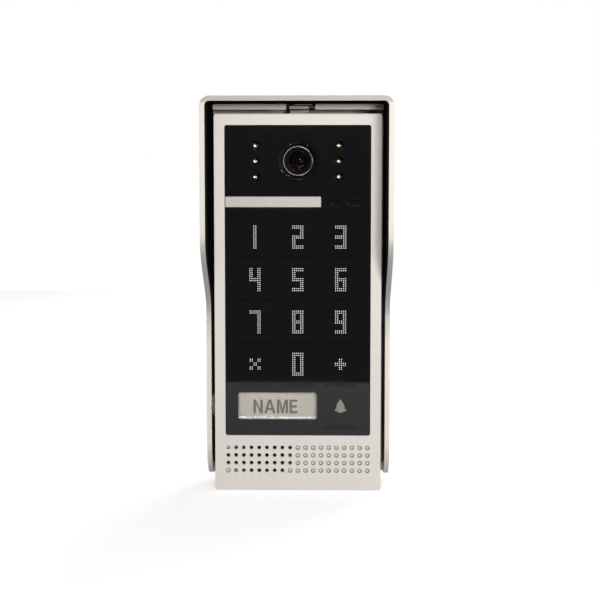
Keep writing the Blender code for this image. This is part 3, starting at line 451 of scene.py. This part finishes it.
def finish_cad_nodes():
    """Every CAD node takes the full finish of its slot."""
    for name, node in frame["nodes"].items():
        node.data.materials[0] = FINISHES[slot_of[name]]


# ---------------------------------------------------------------- mesh tools

WELD = 0.002 * MM
FLAT = math.radians(0.5)
SHARP = math.radians(32)
SHADING_BREAK = math.radians(40)


def linked(made):
    """Puts a new object in the scene."""
    bpy.context.scene.collection.objects.link(made)
    return made


def object_of(name, shape):
    """Makes an object of a shape, and frees the shape."""
    mesh = bpy.data.meshes.new(name)
    shape.to_mesh(mesh)
    shape.free()
    return linked(bpy.data.objects.new(name, mesh))


def weighted_normals(made):
    """Keeps a smooth-shaded object's flats flat."""
    made.data.set_sharp_from_angle(angle=SHADING_BREAK)
    made.modifiers.new("weighted_normals", "WEIGHTED_NORMAL").keep_sharp = True


def cad_copy(node):
    """A node's mesh, welded, with its flat faces whole."""
    shape = bmesh.new()
    shape.from_mesh(frame["nodes"][node].data)
    bmesh.ops.remove_doubles(shape, verts=shape.verts, dist=WELD)
    bmesh.ops.dissolve_limit(shape, angle_limit=FLAT, verts=shape.verts, edges=shape.edges)
    return shape


def rounded_edges(shape, width, segments=2, chosen=None):
    """Rounds the sharp edges of a shape, or those of them that chosen() keeps."""
    sharp = [edge for edge in shape.edges if edge.is_manifold and edge.calc_face_angle() > SHARP]
    if chosen:
        sharp = [edge for edge in sharp if chosen((edge.verts[0].co + edge.verts[1].co) / 2 / MM)]
    bmesh.ops.bevel(shape, geom=sharp, offset=width * MM, segments=segments, profile=0.5,
                    affect="EDGES", clamp_overlap=True)
    return shape


def piece(name, shape, body, slot_name, finish=None, stands_for=(), flat=False):
    """Makes an object of a shape, gives it a finish and lets it ride on a body."""
    bmesh.ops.recalc_face_normals(shape, faces=shape.faces)
    made = object_of(name, shape)
    made.data.materials.append(finish or FINISHES[slot_name])
    if not flat:
        made.data.shade_smooth()
        weighted_normals(made)
    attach(made, body)
    if stands_for:
        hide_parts(*stands_for)
    return made


def softened(node, width, segments=2, chosen=None, finish=None):
    """A copy of a CAD node with its edges rounded, standing for it."""
    shape = rounded_edges(cad_copy(node), width, segments, chosen)
    body = frame["nodes"][node]["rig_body"]
    return piece(node + "_finished", shape, body, slot_of[node], finish, stands_for=[node])


def turned(shape, profile, centre, steps=64):
    """Adds a ring or a dome: a closed profile of (radius, y), turned about an axis along Y."""
    rings = []
    for radius, y in profile:
        if radius == 0:
            rings.append([shape.verts.new((centre.x * MM, y * MM, centre.z * MM))] * steps)
            continue
        ring = []
        for step in range(steps):
            angle = 2 * math.pi * step / steps
            place = (centre.x + radius * math.cos(angle), y, centre.z + radius * math.sin(angle))
            ring.append(shape.verts.new(Vector(place) * MM))
        rings.append(ring)
    closed = profile[0][0] > 0
    pairs = list(zip(rings, rings[1:])) + ([(rings[-1], rings[0])] if closed else [])
    for ring, following in pairs:
        for step in range(steps):
            after = (step + 1) % steps
            corners = [ring[step], ring[after], following[after], following[step]]
            shape.faces.new(list(dict.fromkeys(corners)))
    return shape


def peg(shape, x, z, radius, front, back, sides):
    """Adds a round peg along Y to a shape; its front is at y = front."""
    turn = Matrix.Rotation(math.radians(-90), 4, "X")
    place = Matrix.Translation(Vector((x, (front + back) / 2, z)) * MM)
    bmesh.ops.create_cone(shape, cap_ends=True, segments=sides, radius1=radius * MM,
                          radius2=radius * MM, depth=(back - front) * MM, matrix=place @ turn)


def brick(shape, low, high):
    """Adds a block to a shape, from its lowest corner to its highest."""
    low, high = Vector(low) * MM, Vector(high) * MM
    scale = Matrix.Diagonal((*(high - low), 1.0))
    bmesh.ops.create_cube(shape, size=1.0, matrix=Matrix.Translation((low + high) / 2) @ scale)


# ---------------------------------------------------------------- front frame

GRILLE_COLUMNS, GRILLE_ROWS = 19, 4
GRILLE_PITCH = 3.48
GRILLE_TOP = -69.95
OPEN_COLUMNS = 9
HOLE_RADIUS, RIM_RADIUS, RIM_DEPTH = 0.86, 1.0, 0.12
DIMPLE_RADIUS, DIMPLE_FLOOR_RADIUS, DIMPLE_DEPTH = 1.08, 0.74, 0.75
PLATE_BACK = 3.0
CUT_MARGIN = 0.2
GRILLE_SIDES = 24


def grille_places():
    """(x, z, open) for each place of the grille; the row at the foot has its two end places blind."""
    for row in range(GRILLE_ROWS):
        for column in range(GRILLE_COLUMNS):
            last = row == GRILLE_ROWS - 1
            drilled = column < OPEN_COLUMNS and not (last and column in (0, OPEN_COLUMNS - 1))
            x = (column - (GRILLE_COLUMNS - 1) / 2) * GRILLE_PITCH
            yield x, GRILLE_TOP - row * GRILLE_PITCH, drilled


def in_grille(point):
    reach = GRILLE_PITCH / 2
    across = abs(point.x) < (GRILLE_COLUMNS - 1) / 2 * GRILLE_PITCH + reach
    lowest = GRILLE_TOP - (GRILLE_ROWS - 1) * GRILLE_PITCH - reach
    return across and lowest < point.z < GRILLE_TOP + reach and point.y < FRAME_FRONT + PLATE_BACK


def make_front_frame():
    """The painted frame: rounded edges, countersunk grille holes and blind dimples, the dimples' walls
    lined with painted shade.
    """
    rounded = rounded_edges(cad_copy("front_frame"), 0.3, 2, lambda point: not in_grille(point))
    made = piece("front_frame_finished", rounded, "panel", "silver_coating", stands_for=["front_frame"])
    cutters, shade_linings = bmesh.new(), bmesh.new()
    above = FRAME_FRONT - CUT_MARGIN
    rim, back, floor = FRAME_FRONT + RIM_DEPTH, FRAME_FRONT + PLATE_BACK, FRAME_FRONT + DIMPLE_DEPTH
    for x, z, drilled in grille_places():
        centre = Vector((x, 0, z))
        if drilled:
            slope = (RIM_RADIUS - HOLE_RADIUS) / RIM_DEPTH
            profile = [(0, above), (RIM_RADIUS + slope * CUT_MARGIN, above), (HOLE_RADIUS, rim),
                       (HOLE_RADIUS, back), (0, back)]
        else:
            slope = (DIMPLE_RADIUS - DIMPLE_FLOOR_RADIUS) / DIMPLE_DEPTH
            profile = [(0, above), (DIMPLE_RADIUS + slope * CUT_MARGIN, above),
                       (DIMPLE_FLOOR_RADIUS, floor), (0, floor)]
            # A thin dark lining on each dimple's wall: painted shade in the hollow.
            mouth, foot = FRAME_FRONT + 0.02, floor - 0.01
            shade_lining = [(DIMPLE_RADIUS - 0.01, mouth), (DIMPLE_FLOOR_RADIUS, foot),
                    (DIMPLE_FLOOR_RADIUS - 0.06, foot), (DIMPLE_RADIUS - 0.08, mouth)]
            turned(shade_linings, shade_lining, centre, GRILLE_SIDES)
        turned(cutters, profile, centre, GRILLE_SIDES)
    bmesh.ops.recalc_face_normals(cutters, faces=cutters.faces)
    cutter = object_of("grille_cutters", cutters)
    made.modifiers.new("grille", "BOOLEAN").object = cutter
    made.modifiers.move(1, 0)
    bpy.context.view_layer.update()
    graph = bpy.context.evaluated_depsgraph_get()
    finished = bpy.data.meshes.new_from_object(made.evaluated_get(graph))
    made.modifiers.clear()
    made.data = finished
    weighted_normals(made)
    bpy.data.objects.remove(cutter)
    piece("dimple_shade_linings", shade_linings, "panel", "silver_coating", DIMPLE_SHADE)


# ---------------------------------------------------------------- glass and print

DOT_PITCH = 0.89
DOT_RADIUS = 0.225
PRINT_DEPTH = 0.012
KEY_COLUMNS = (-19.1, 0.0, 19.1)
KEY_ROWS = (24.85, 5.87, -13.1, -32.1)
BELL_PLACE = (19.15, -51.1)
BAR_DROP = 9.4
BAR_DOTS = 17
KEYS = ("123", "456", "789", "x0+")
SEGMENTS = {
    "a": [(column, row) for column in range(6) for row in (0, 1)],
    "g": [(column, row) for column in range(6) for row in (5, 6)],
    "d": [(column, row) for column in range(6) for row in (10, 11)],
    "f": [(column, row) for column in (0, 1) for row in range(7)],
    "b": [(column, row) for column in (4, 5) for row in range(7)],
    "e": [(column, row) for column in (0, 1) for row in range(5, 12)],
    "c": [(column, row) for column in (4, 5) for row in range(5, 12)],
}
DIGITS = {"0": "abcdef", "2": "abged", "3": "abgcd", "4": "fgbc", "5": "afgcd", "6": "afgedc",
          "7": "abc", "8": "abcdefg", "9": "abcdfg"}
BELL_WIDTHS = (1, 2, 4, 4, 4, 6, 2)
VIGNETTE_RINGS = ((8.9, 0.24), (9.4, 0.19), (9.9, 0.14))
VIGNETTE_DOTS = 72


def key_dots(key):
    """The lit places of one key's mark, as (column, row) on its 6 by 12 field."""
    if key in DIGITS:
        return sorted({dot for name in DIGITS[key] for dot in SEGMENTS[name]})
    if key == "1":
        return [(column, row) for column in (2, 3) for row in range(12)]
    if key == "+":
        field = [(column, row) for column in range(6) for row in range(3, 9)]
        return [(column, row) for column, row in field if column in (2, 3) or row in (5, 6)]
    corners = [(0, 3), (4, 3), (2, 5), (0, 7), (4, 7)]
    return [(column + i, row + j) for column, row in corners for i in (0, 1) for j in (0, 1)]


def add_dot(shape, x, z, radius, sides):
    """Adds one flat round dot on the pane."""
    peg(shape, x, z, radius, PANE_FRONT - PRINT_DEPTH, PANE_FRONT + PRINT_DEPTH, sides)


def add_dots(shape, places, centre):
    """Adds dots on the pane, from (column, row) counted from the middle of the mark."""
    for column, row in places:
        add_dot(shape, centre[0] + column * DOT_PITCH, centre[1] - row * DOT_PITCH, DOT_RADIUS, 12)


def make_key_marks():
    """Lit digits, cross, plus and bell, the unlit bar under each, and dots round the lens window."""
    lit, unlit = bmesh.new(), bmesh.new()
    bar = [(column - (BAR_DOTS - 1) / 2, row - 0.5) for column in range(BAR_DOTS) for row in (0, 1)]
    for row, z in enumerate(KEY_ROWS):
        for column, x in enumerate(KEY_COLUMNS):
            dots = [(i - 2.5, j - 5.5) for i, j in key_dots(KEYS[row][column])]
            add_dots(lit, dots, (x, z))
            add_dots(unlit, bar, (x, z - BAR_DROP))
    bell = [(i - (width - 1) / 2, j - 3) for j, width in enumerate(BELL_WIDTHS) for i in range(width)]
    add_dots(lit, bell, BELL_PLACE)
    add_dots(unlit, bar, (BELL_PLACE[0], BELL_PLACE[1] - BAR_DROP))
    for ring_radius, dot_radius in VIGNETTE_RINGS:
        for step in range(VIGNETTE_DOTS):
            angle = 2 * math.pi * step / VIGNETTE_DOTS
            add_dot(unlit, LENS_AXIS.x + ring_radius * math.cos(angle),
                    LENS_AXIS.z + ring_radius * math.sin(angle), dot_radius, 8)
    piece("key_marks", lit, "panel", "white_diffuser", LIT_DOT, flat=True)
    piece("unlit_marks", unlit, "panel", "black_acrylic", DARK_DOT, flat=True)


def make_front_glass():
    """The pane, the strip and the clear pieces behind it; (edge, look) of each."""
    pieces = {"front_window": (0.12, None), "trim_strip": (0.1, TRIM),
              "name_window": (0.06, NAME_GLASS), "camera_window": (0.05, WINDOW_GLASS),
              "status_lamp": (0.06, SMOKED), "light_sensor": (0.06, SMOKED)}
    for node, (width, look) in pieces.items():
        made = softened(node, width, finish=look)
        if slot_of[node] == "clear_plastic":
            made.visible_shadow = False


TEXT_HEIGHT = 6.3
TEXT_CENTRE = (-10.2, -51.9)
STROKE = 0.18
LETTER_GAP = 0.1
LETTER_WIDTHS = {"N": 0.67, "A": 0.82, "M": 0.80, "E": 0.57}


def letter_outlines(letter, wide):
    """The outlines of one bold capital of unit height, as lists of (x, z)."""
    s, half = STROKE, wide / 2
    if letter == "N":
        return [[(0, 0), (s, 0), (s, 0.7), (wide - s, 0), (wide, 0), (wide, 1), (wide - s, 1),
                 (wide - s, 0.3), (s, 1), (0, 1)]]
    if letter == "A":
        left = [(0, 0), (s, 0), (0.27, 0.24), (half, 0.24), (half, 0.39), (0.31, 0.39), (half, 0.8),
                (half, 1), (half - 0.1, 1)]
        return [left, [(wide - x, z) for x, z in reversed(left)]]
    if letter == "M":
        return [[(0, 0), (s, 0), (s, 0.68), (half - 0.08, 0), (half + 0.08, 0), (wide - s, 0.68),
                 (wide - s, 0), (wide, 0), (wide, 1), (wide - 0.24, 1), (half, 0.32), (0.24, 1),
                 (0, 1)]]
    low, high = 0.5 - 0.45 * s, 0.5 + 0.45 * s
    return [[(0, 0), (wide, 0), (wide, 0.9 * s), (s, 0.9 * s), (s, low), (0.92 * wide, low),
             (0.92 * wide, high), (s, high), (s, 1 - 0.9 * s), (wide, 1 - 0.9 * s), (wide, 1), (0, 1)]]


def slab(shape, outline, front, back):
    """Adds a flat piece of an (x, z) outline between two depths."""
    faces = []
    for y in (front, back):
        faces.append([shape.verts.new(Vector((x, y, z)) * MM) for x, z in outline])
        shape.faces.new(faces[-1])
    for here, after in zip(range(len(outline)), [*range(1, len(outline)), 0]):
        shape.faces.new([faces[0][here], faces[0][after], faces[1][after], faces[1][here]])


def make_name_print():
    """The word NAME on the card, as a thin print."""
    shape = bmesh.new()
    length = sum(LETTER_WIDTHS.values()) + LETTER_GAP * (len(LETTER_WIDTHS) - 1)
    start = -length / 2
    middle_x, middle_z = TEXT_CENTRE
    for letter, wide in LETTER_WIDTHS.items():
        for outline in letter_outlines(letter, wide):
            placed = [(middle_x + (start + x) * TEXT_HEIGHT, middle_z + (z - 0.5) * TEXT_HEIGHT)
                      for x, z in outline]
            slab(shape, placed, CARD_FRONT - PRINT_DEPTH, CARD_FRONT + PRINT_DEPTH)
        start += wide + LETTER_GAP
    piece("name_print", shape, "name_card_carrier", "card", CARD_INK, flat=True)


def make_name_card():
    softened("name_card", 0.08, 1)
    softened("name_diffuser", 0.2)
    softened("card_carrier", 0.15).visible_shadow = False
    make_name_print()


# ---------------------------------------------------------------- camera and emitters


BEAD = 0.32
THREAD, THREAD_DEPTH, THREAD_PITCH = 6.2, 0.12, 0.2
LENS_SPHERE, LENS_RADIUS, LENS_RINGS = 9.0, 4.5, 12


def make_lens():
    """Lens front: a bright bead, a dark stepped bezel, the coated front element and the iris."""
    ring_front = edge_of("lens_ring", "y", LOWEST)
    ring_back = edge_of("lens_ring", "y", HIGHEST)
    outer = (edge_of("lens_ring", "x", HIGHEST) - edge_of("lens_ring", "x", LOWEST)) / 2
    bead = [(outer - BEAD + BEAD * math.cos(turn), ring_back - BEAD * math.sin(turn) * 1.2)
            for turn in (math.radians(step) for step in range(0, 181, 20))]
    shape = turned(bmesh.new(), bead, LENS_AXIS, 96)
    piece("lens_ring_finished", shape, "camera_head", "steel", DARK_CHROME, ["lens_ring"])

    barrel_back = edge_of("lens_barrel", "y", HIGHEST)
    barrel_front = edge_of("lens_barrel", "y", LOWEST)
    threads = [(THREAD - THREAD_DEPTH * (step % 2), barrel_back - THREAD_PITCH - THREAD_PITCH * step)
               for step in range(12)]
    funnel = [(THREAD, barrel_front + 0.15), (6.05, barrel_front), (5.75, barrel_front),
              (5.6, barrel_front + 0.2), (5.55, barrel_front - 0.25), (5.45, barrel_front - 0.32),
              (5.35, barrel_front - 0.25), (4.95, barrel_front + 0.1), (4.65, barrel_front + 0.15),
              (4.62, barrel_back)]
    shape = turned(bmesh.new(), [(THREAD, barrel_back)] + threads + funnel, LENS_AXIS, 96)
    piece("lens_barrel_finished", shape, "camera_head", "black_plastic", LENS_BLACK, ["lens_barrel"])

    glass_front = edge_of("lens_glass", "y", LOWEST)
    glass_back = edge_of("lens_glass", "y", HIGHEST)
    dome = [(0, glass_front)]
    for step in range(1, LENS_RINGS + 1):
        radius = LENS_RADIUS * step / LENS_RINGS
        dome.append((radius, glass_front + LENS_SPHERE - math.sqrt(LENS_SPHERE**2 - radius**2)))
    dome += [(LENS_RADIUS, glass_back), (0, glass_back)]
    made = piece("lens_glass_finished", turned(bmesh.new(), dome, LENS_AXIS, 64), "camera_head",
                 "clear_plastic", COATED, ["lens_glass"])
    made.visible_shadow = False

    iris_front = glass_back + 0.3
    iris = [(4.6, iris_front), (3.4, iris_front + 0.5), (3.3, iris_front + 0.3),
            (1.95, iris_front + 0.9), (1.85, iris_front + 0.7), (0.6, iris_front + 1.1),
            (0.6, iris_front + 1.5), (4.6, iris_front + 1.5)]
    shape = turned(bmesh.new(), iris, LENS_AXIS, 64)
    piece("lens_iris", shape, "camera_head", "black_plastic", LENS_BLACK)
    element = [(0, iris_front + 0.85), (0.25, iris_front + 0.9), (0.5, iris_front + 1.08),
               (0.5, iris_front + 1.3), (0, iris_front + 1.3)]
    piece("lens_inner_element", turned(bmesh.new(), element, LENS_AXIS, 32), "camera_head", "steel",
          LENS_BLACK)


EMITTERS = 6
DOME, FLANGE = 1.5, 1.8


def add_leads(number, centre, cup, back):
    """The cup on its post, the second post, the chip and the bond wire of one emitter."""
    lead = bmesh.new()
    profile = [(0, cup + 0.35), (0.28, cup + 0.35), (0.55, cup), (0.62, cup), (0.62, cup + 0.6),
               (0, cup + 0.6)]
    turned(lead, profile, centre + Vector((-0.3, 0, 0)), 24)
    for left, right, front, rear, reach in ((-0.6, -0.1, cup + 0.6, back - 0.1, 0.25),
                                            (0.55, 0.95, cup + 0.1, back - 0.1, 0.25),
                                            (-0.42, -0.18, cup + 0.15, cup + 0.32, 0.13),
                                            (-0.25, 0.75, cup - 0.06, cup + 0.02, 0.04)):
        brick(lead, (centre.x + left, front, centre.z - reach),
              (centre.x + right, rear, centre.z + reach))
    piece(f"emitter_leads_{number}", lead, "panel", "spring_steel", DARK_CHROME, flat=True)


def make_emitters():
    """Each infrared emitter: an epoxy dome with its flange, and the leads inside it.

    A black sleeve round each dome hides the lamp-lit board round it: painted shade in the gap between
    dome and pane.
    """
    shading_sleeves = bmesh.new()
    for number in range(1, EMITTERS + 1):
        node = f"infrared_led_{number}"
        centre = middle_of(node)
        tip, back = edge_of(node, "y", LOWEST), edge_of(node, "y", HIGHEST)
        arc = [math.radians(step) for step in range(15, 91, 15)]
        bulge = [(DOME * math.sin(turn), tip + DOME - DOME * math.cos(turn)) for turn in arc]
        foot = [(DOME, back - 1.0), (FLANGE, back - 0.9), (FLANGE, back), (0, back)]
        epoxy = [(0, tip)] + bulge + foot
        made = piece(f"emitter_dome_{number}", turned(bmesh.new(), epoxy, centre, 40), "panel",
                     "emitter_lens", stands_for=[node])
        made.visible_shadow = False
        add_leads(number, centre, tip + 1.9, back)
        # Painted shade: a black sleeve that hides the lit board round the dome.
        shading_sleeve = [(1.96, tip + 0.9), (1.96, back - 0.65), (1.56, back - 0.65), (1.56, tip + 1.3)]
        turned(shading_sleeves, shading_sleeve, centre, 40)
    piece("emitter_shading_sleeves", shading_sleeves, "panel", "black_plastic", LENS_BLACK)


# ---------------------------------------------------------------- other softened pieces

SOFT_EDGES = {
    "rain_hood": 0.6,
    "hood_liner": 0.2,
    "hook_bracket": 0.15,
    "hook_spring": 0.12,
    "rear_housing": 0.3,
    "cable_grommet": 0.3,
    "lock_screw": 0.15,
    "housing_screw_1": 0.15,
    "housing_screw_2": 0.15,
    "camera_head": 0.2,
    "camera_yoke": 0.2,
    "tamper_plunger": 0.2,
    "speaker_basket": 0.2,
    "microphone_boot": 0.1,
    "light_board": 0.1,
}
# The light board, a green circuit board, takes the near-black lens finish: painted shade where it shows
# round the lamps and emitters.
OWN_LOOKS = {"rain_hood": HOOD_COATING, "camera_head": LENS_BLACK, "camera_yoke": LENS_BLACK,
             "microphone_boot": PALE_RUBBER, "light_board": LENS_BLACK}


def make_other_pieces():
    for node, width in SOFT_EDGES.items():
        softened(node, width, finish=OWN_LOOKS.get(node))


# ---------------------------------------------------------------- stage

CAMERA_AIM = Vector((1.0, -29.0, -3.2)) * MM
CAMERA_DISTANCE = 0.5998
CAMERA_DROP, CAMERA_TURN = math.radians(4.95), math.radians(1.13)
CAMERA_LENS = 80.7
FLOOR_REACH, FLOOR_BACK, FLOOR_HALF_WIDTH = 0.36, 1.1, 1.3
FLOOR_GAP = 0.0004
FLOOR_TURN = math.radians(0.9)
WARM = (1.0, 0.985, 0.965)


def make_camera():
    data = bpy.data.cameras.new("camera")
    data.lens, data.sensor_width = CAMERA_LENS, 36.0
    data.clip_start, data.clip_end = 0.02, 50.0
    camera = linked(bpy.data.objects.new("camera", data))
    camera.rotation_euler = (math.radians(90) - CAMERA_DROP, 0, CAMERA_TURN)
    bpy.context.view_layer.update()
    camera.location = CAMERA_AIM + camera.matrix_world.to_3x3() @ Vector((0, 0, CAMERA_DISTANCE))
    bpy.context.scene.camera = camera


def soft_light(name, place, size, power, colour=(1.0, 1.0, 1.0)):
    data = bpy.data.lights.new(name, "AREA")
    data.shape = "RECTANGLE"
    data.size, data.size_y = size
    data.energy, data.color = power, colour
    light = linked(bpy.data.objects.new(name, data))
    light.location = place
    light.rotation_euler = (-Vector(place)).to_track_quat("-Z", "Y").to_euler()
    light.visible_camera = False


def make_floor():
    """A plain pale floor, which ends in front of the object so that the pane doesn't mirror it."""
    shape = bmesh.new()
    bmesh.ops.create_grid(shape, x_segments=1, y_segments=1, size=1.0)
    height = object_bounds()[0].z - FLOOR_GAP
    centre = Matrix.Translation((0, (FLOOR_BACK - FLOOR_REACH) / 2, height))
    size = Matrix.Diagonal((FLOOR_HALF_WIDTH, (FLOOR_BACK + FLOOR_REACH) / 2, 1.0, 1.0))
    shape.transform(Matrix.Rotation(FLOOR_TURN, 4, "Z") @ centre @ size)
    floor = object_of("floor", shape)
    surface = Finish("floor", (0.90, 0.90, 0.89), 0.8, Emission_Color=(1.0, 1.0, 1.0, 1.0),
                     Emission_Strength=0.55)
    surface.tint(surface.ranged(surface.noise(90, 3.0), 0.3, 0.8, 0.0, 0.3), (0.87, 0.87, 0.86))
    floor.data.materials.append(surface.material)
    floor.visible_diffuse = False


def make_world():
    """White behind the object, and a dim surround for what the object's surfaces mirror."""
    world = bpy.data.worlds.new("studio")
    bpy.context.scene.world = world
    world.use_nodes = True
    tree = world.node_tree
    seen = tree.nodes["Background"]
    seen.inputs["Color"].default_value = (1.0, 1.0, 1.0, 1.0)
    dim = tree.nodes.new("ShaderNodeBackground")
    dim.inputs["Color"].default_value = (0.15, 0.15, 0.16, 1.0)
    mix = tree.nodes.new("ShaderNodeMixShader")
    path = tree.nodes.new("ShaderNodeLightPath")
    tree.links.new(path.outputs["Is Camera Ray"], mix.inputs["Fac"])
    tree.links.new(dim.outputs["Background"], mix.inputs[1])
    tree.links.new(seen.outputs["Background"], mix.inputs[2])
    tree.links.new(mix.outputs["Shader"], tree.nodes["World Output"].inputs["Surface"])


def make_stage():
    bpy.context.scene.view_settings.view_transform = "Standard"
    make_world()
    make_floor()
    soft_light("front", (0.06, -1.10, 0.24), (0.40, 0.20), 6.0, WARM)
    soft_light("fill", (0.27, -1.10, 0.085), (0.22, 0.12), 3.9, WARM)
    soft_light("top", (0.0, 0.35, 1.40), (2.6, 2.2), 5.0)
    soft_light("back", (0.5, 1.1, 0.35), (0.6, 0.6), 7.0)
    make_camera()


def main():
    finish_cad_nodes()
    make_front_frame()
    make_front_glass()
    make_key_marks()
    make_name_card()
    make_lens()
    make_emitters()
    make_other_pieces()
    make_stage()


main()
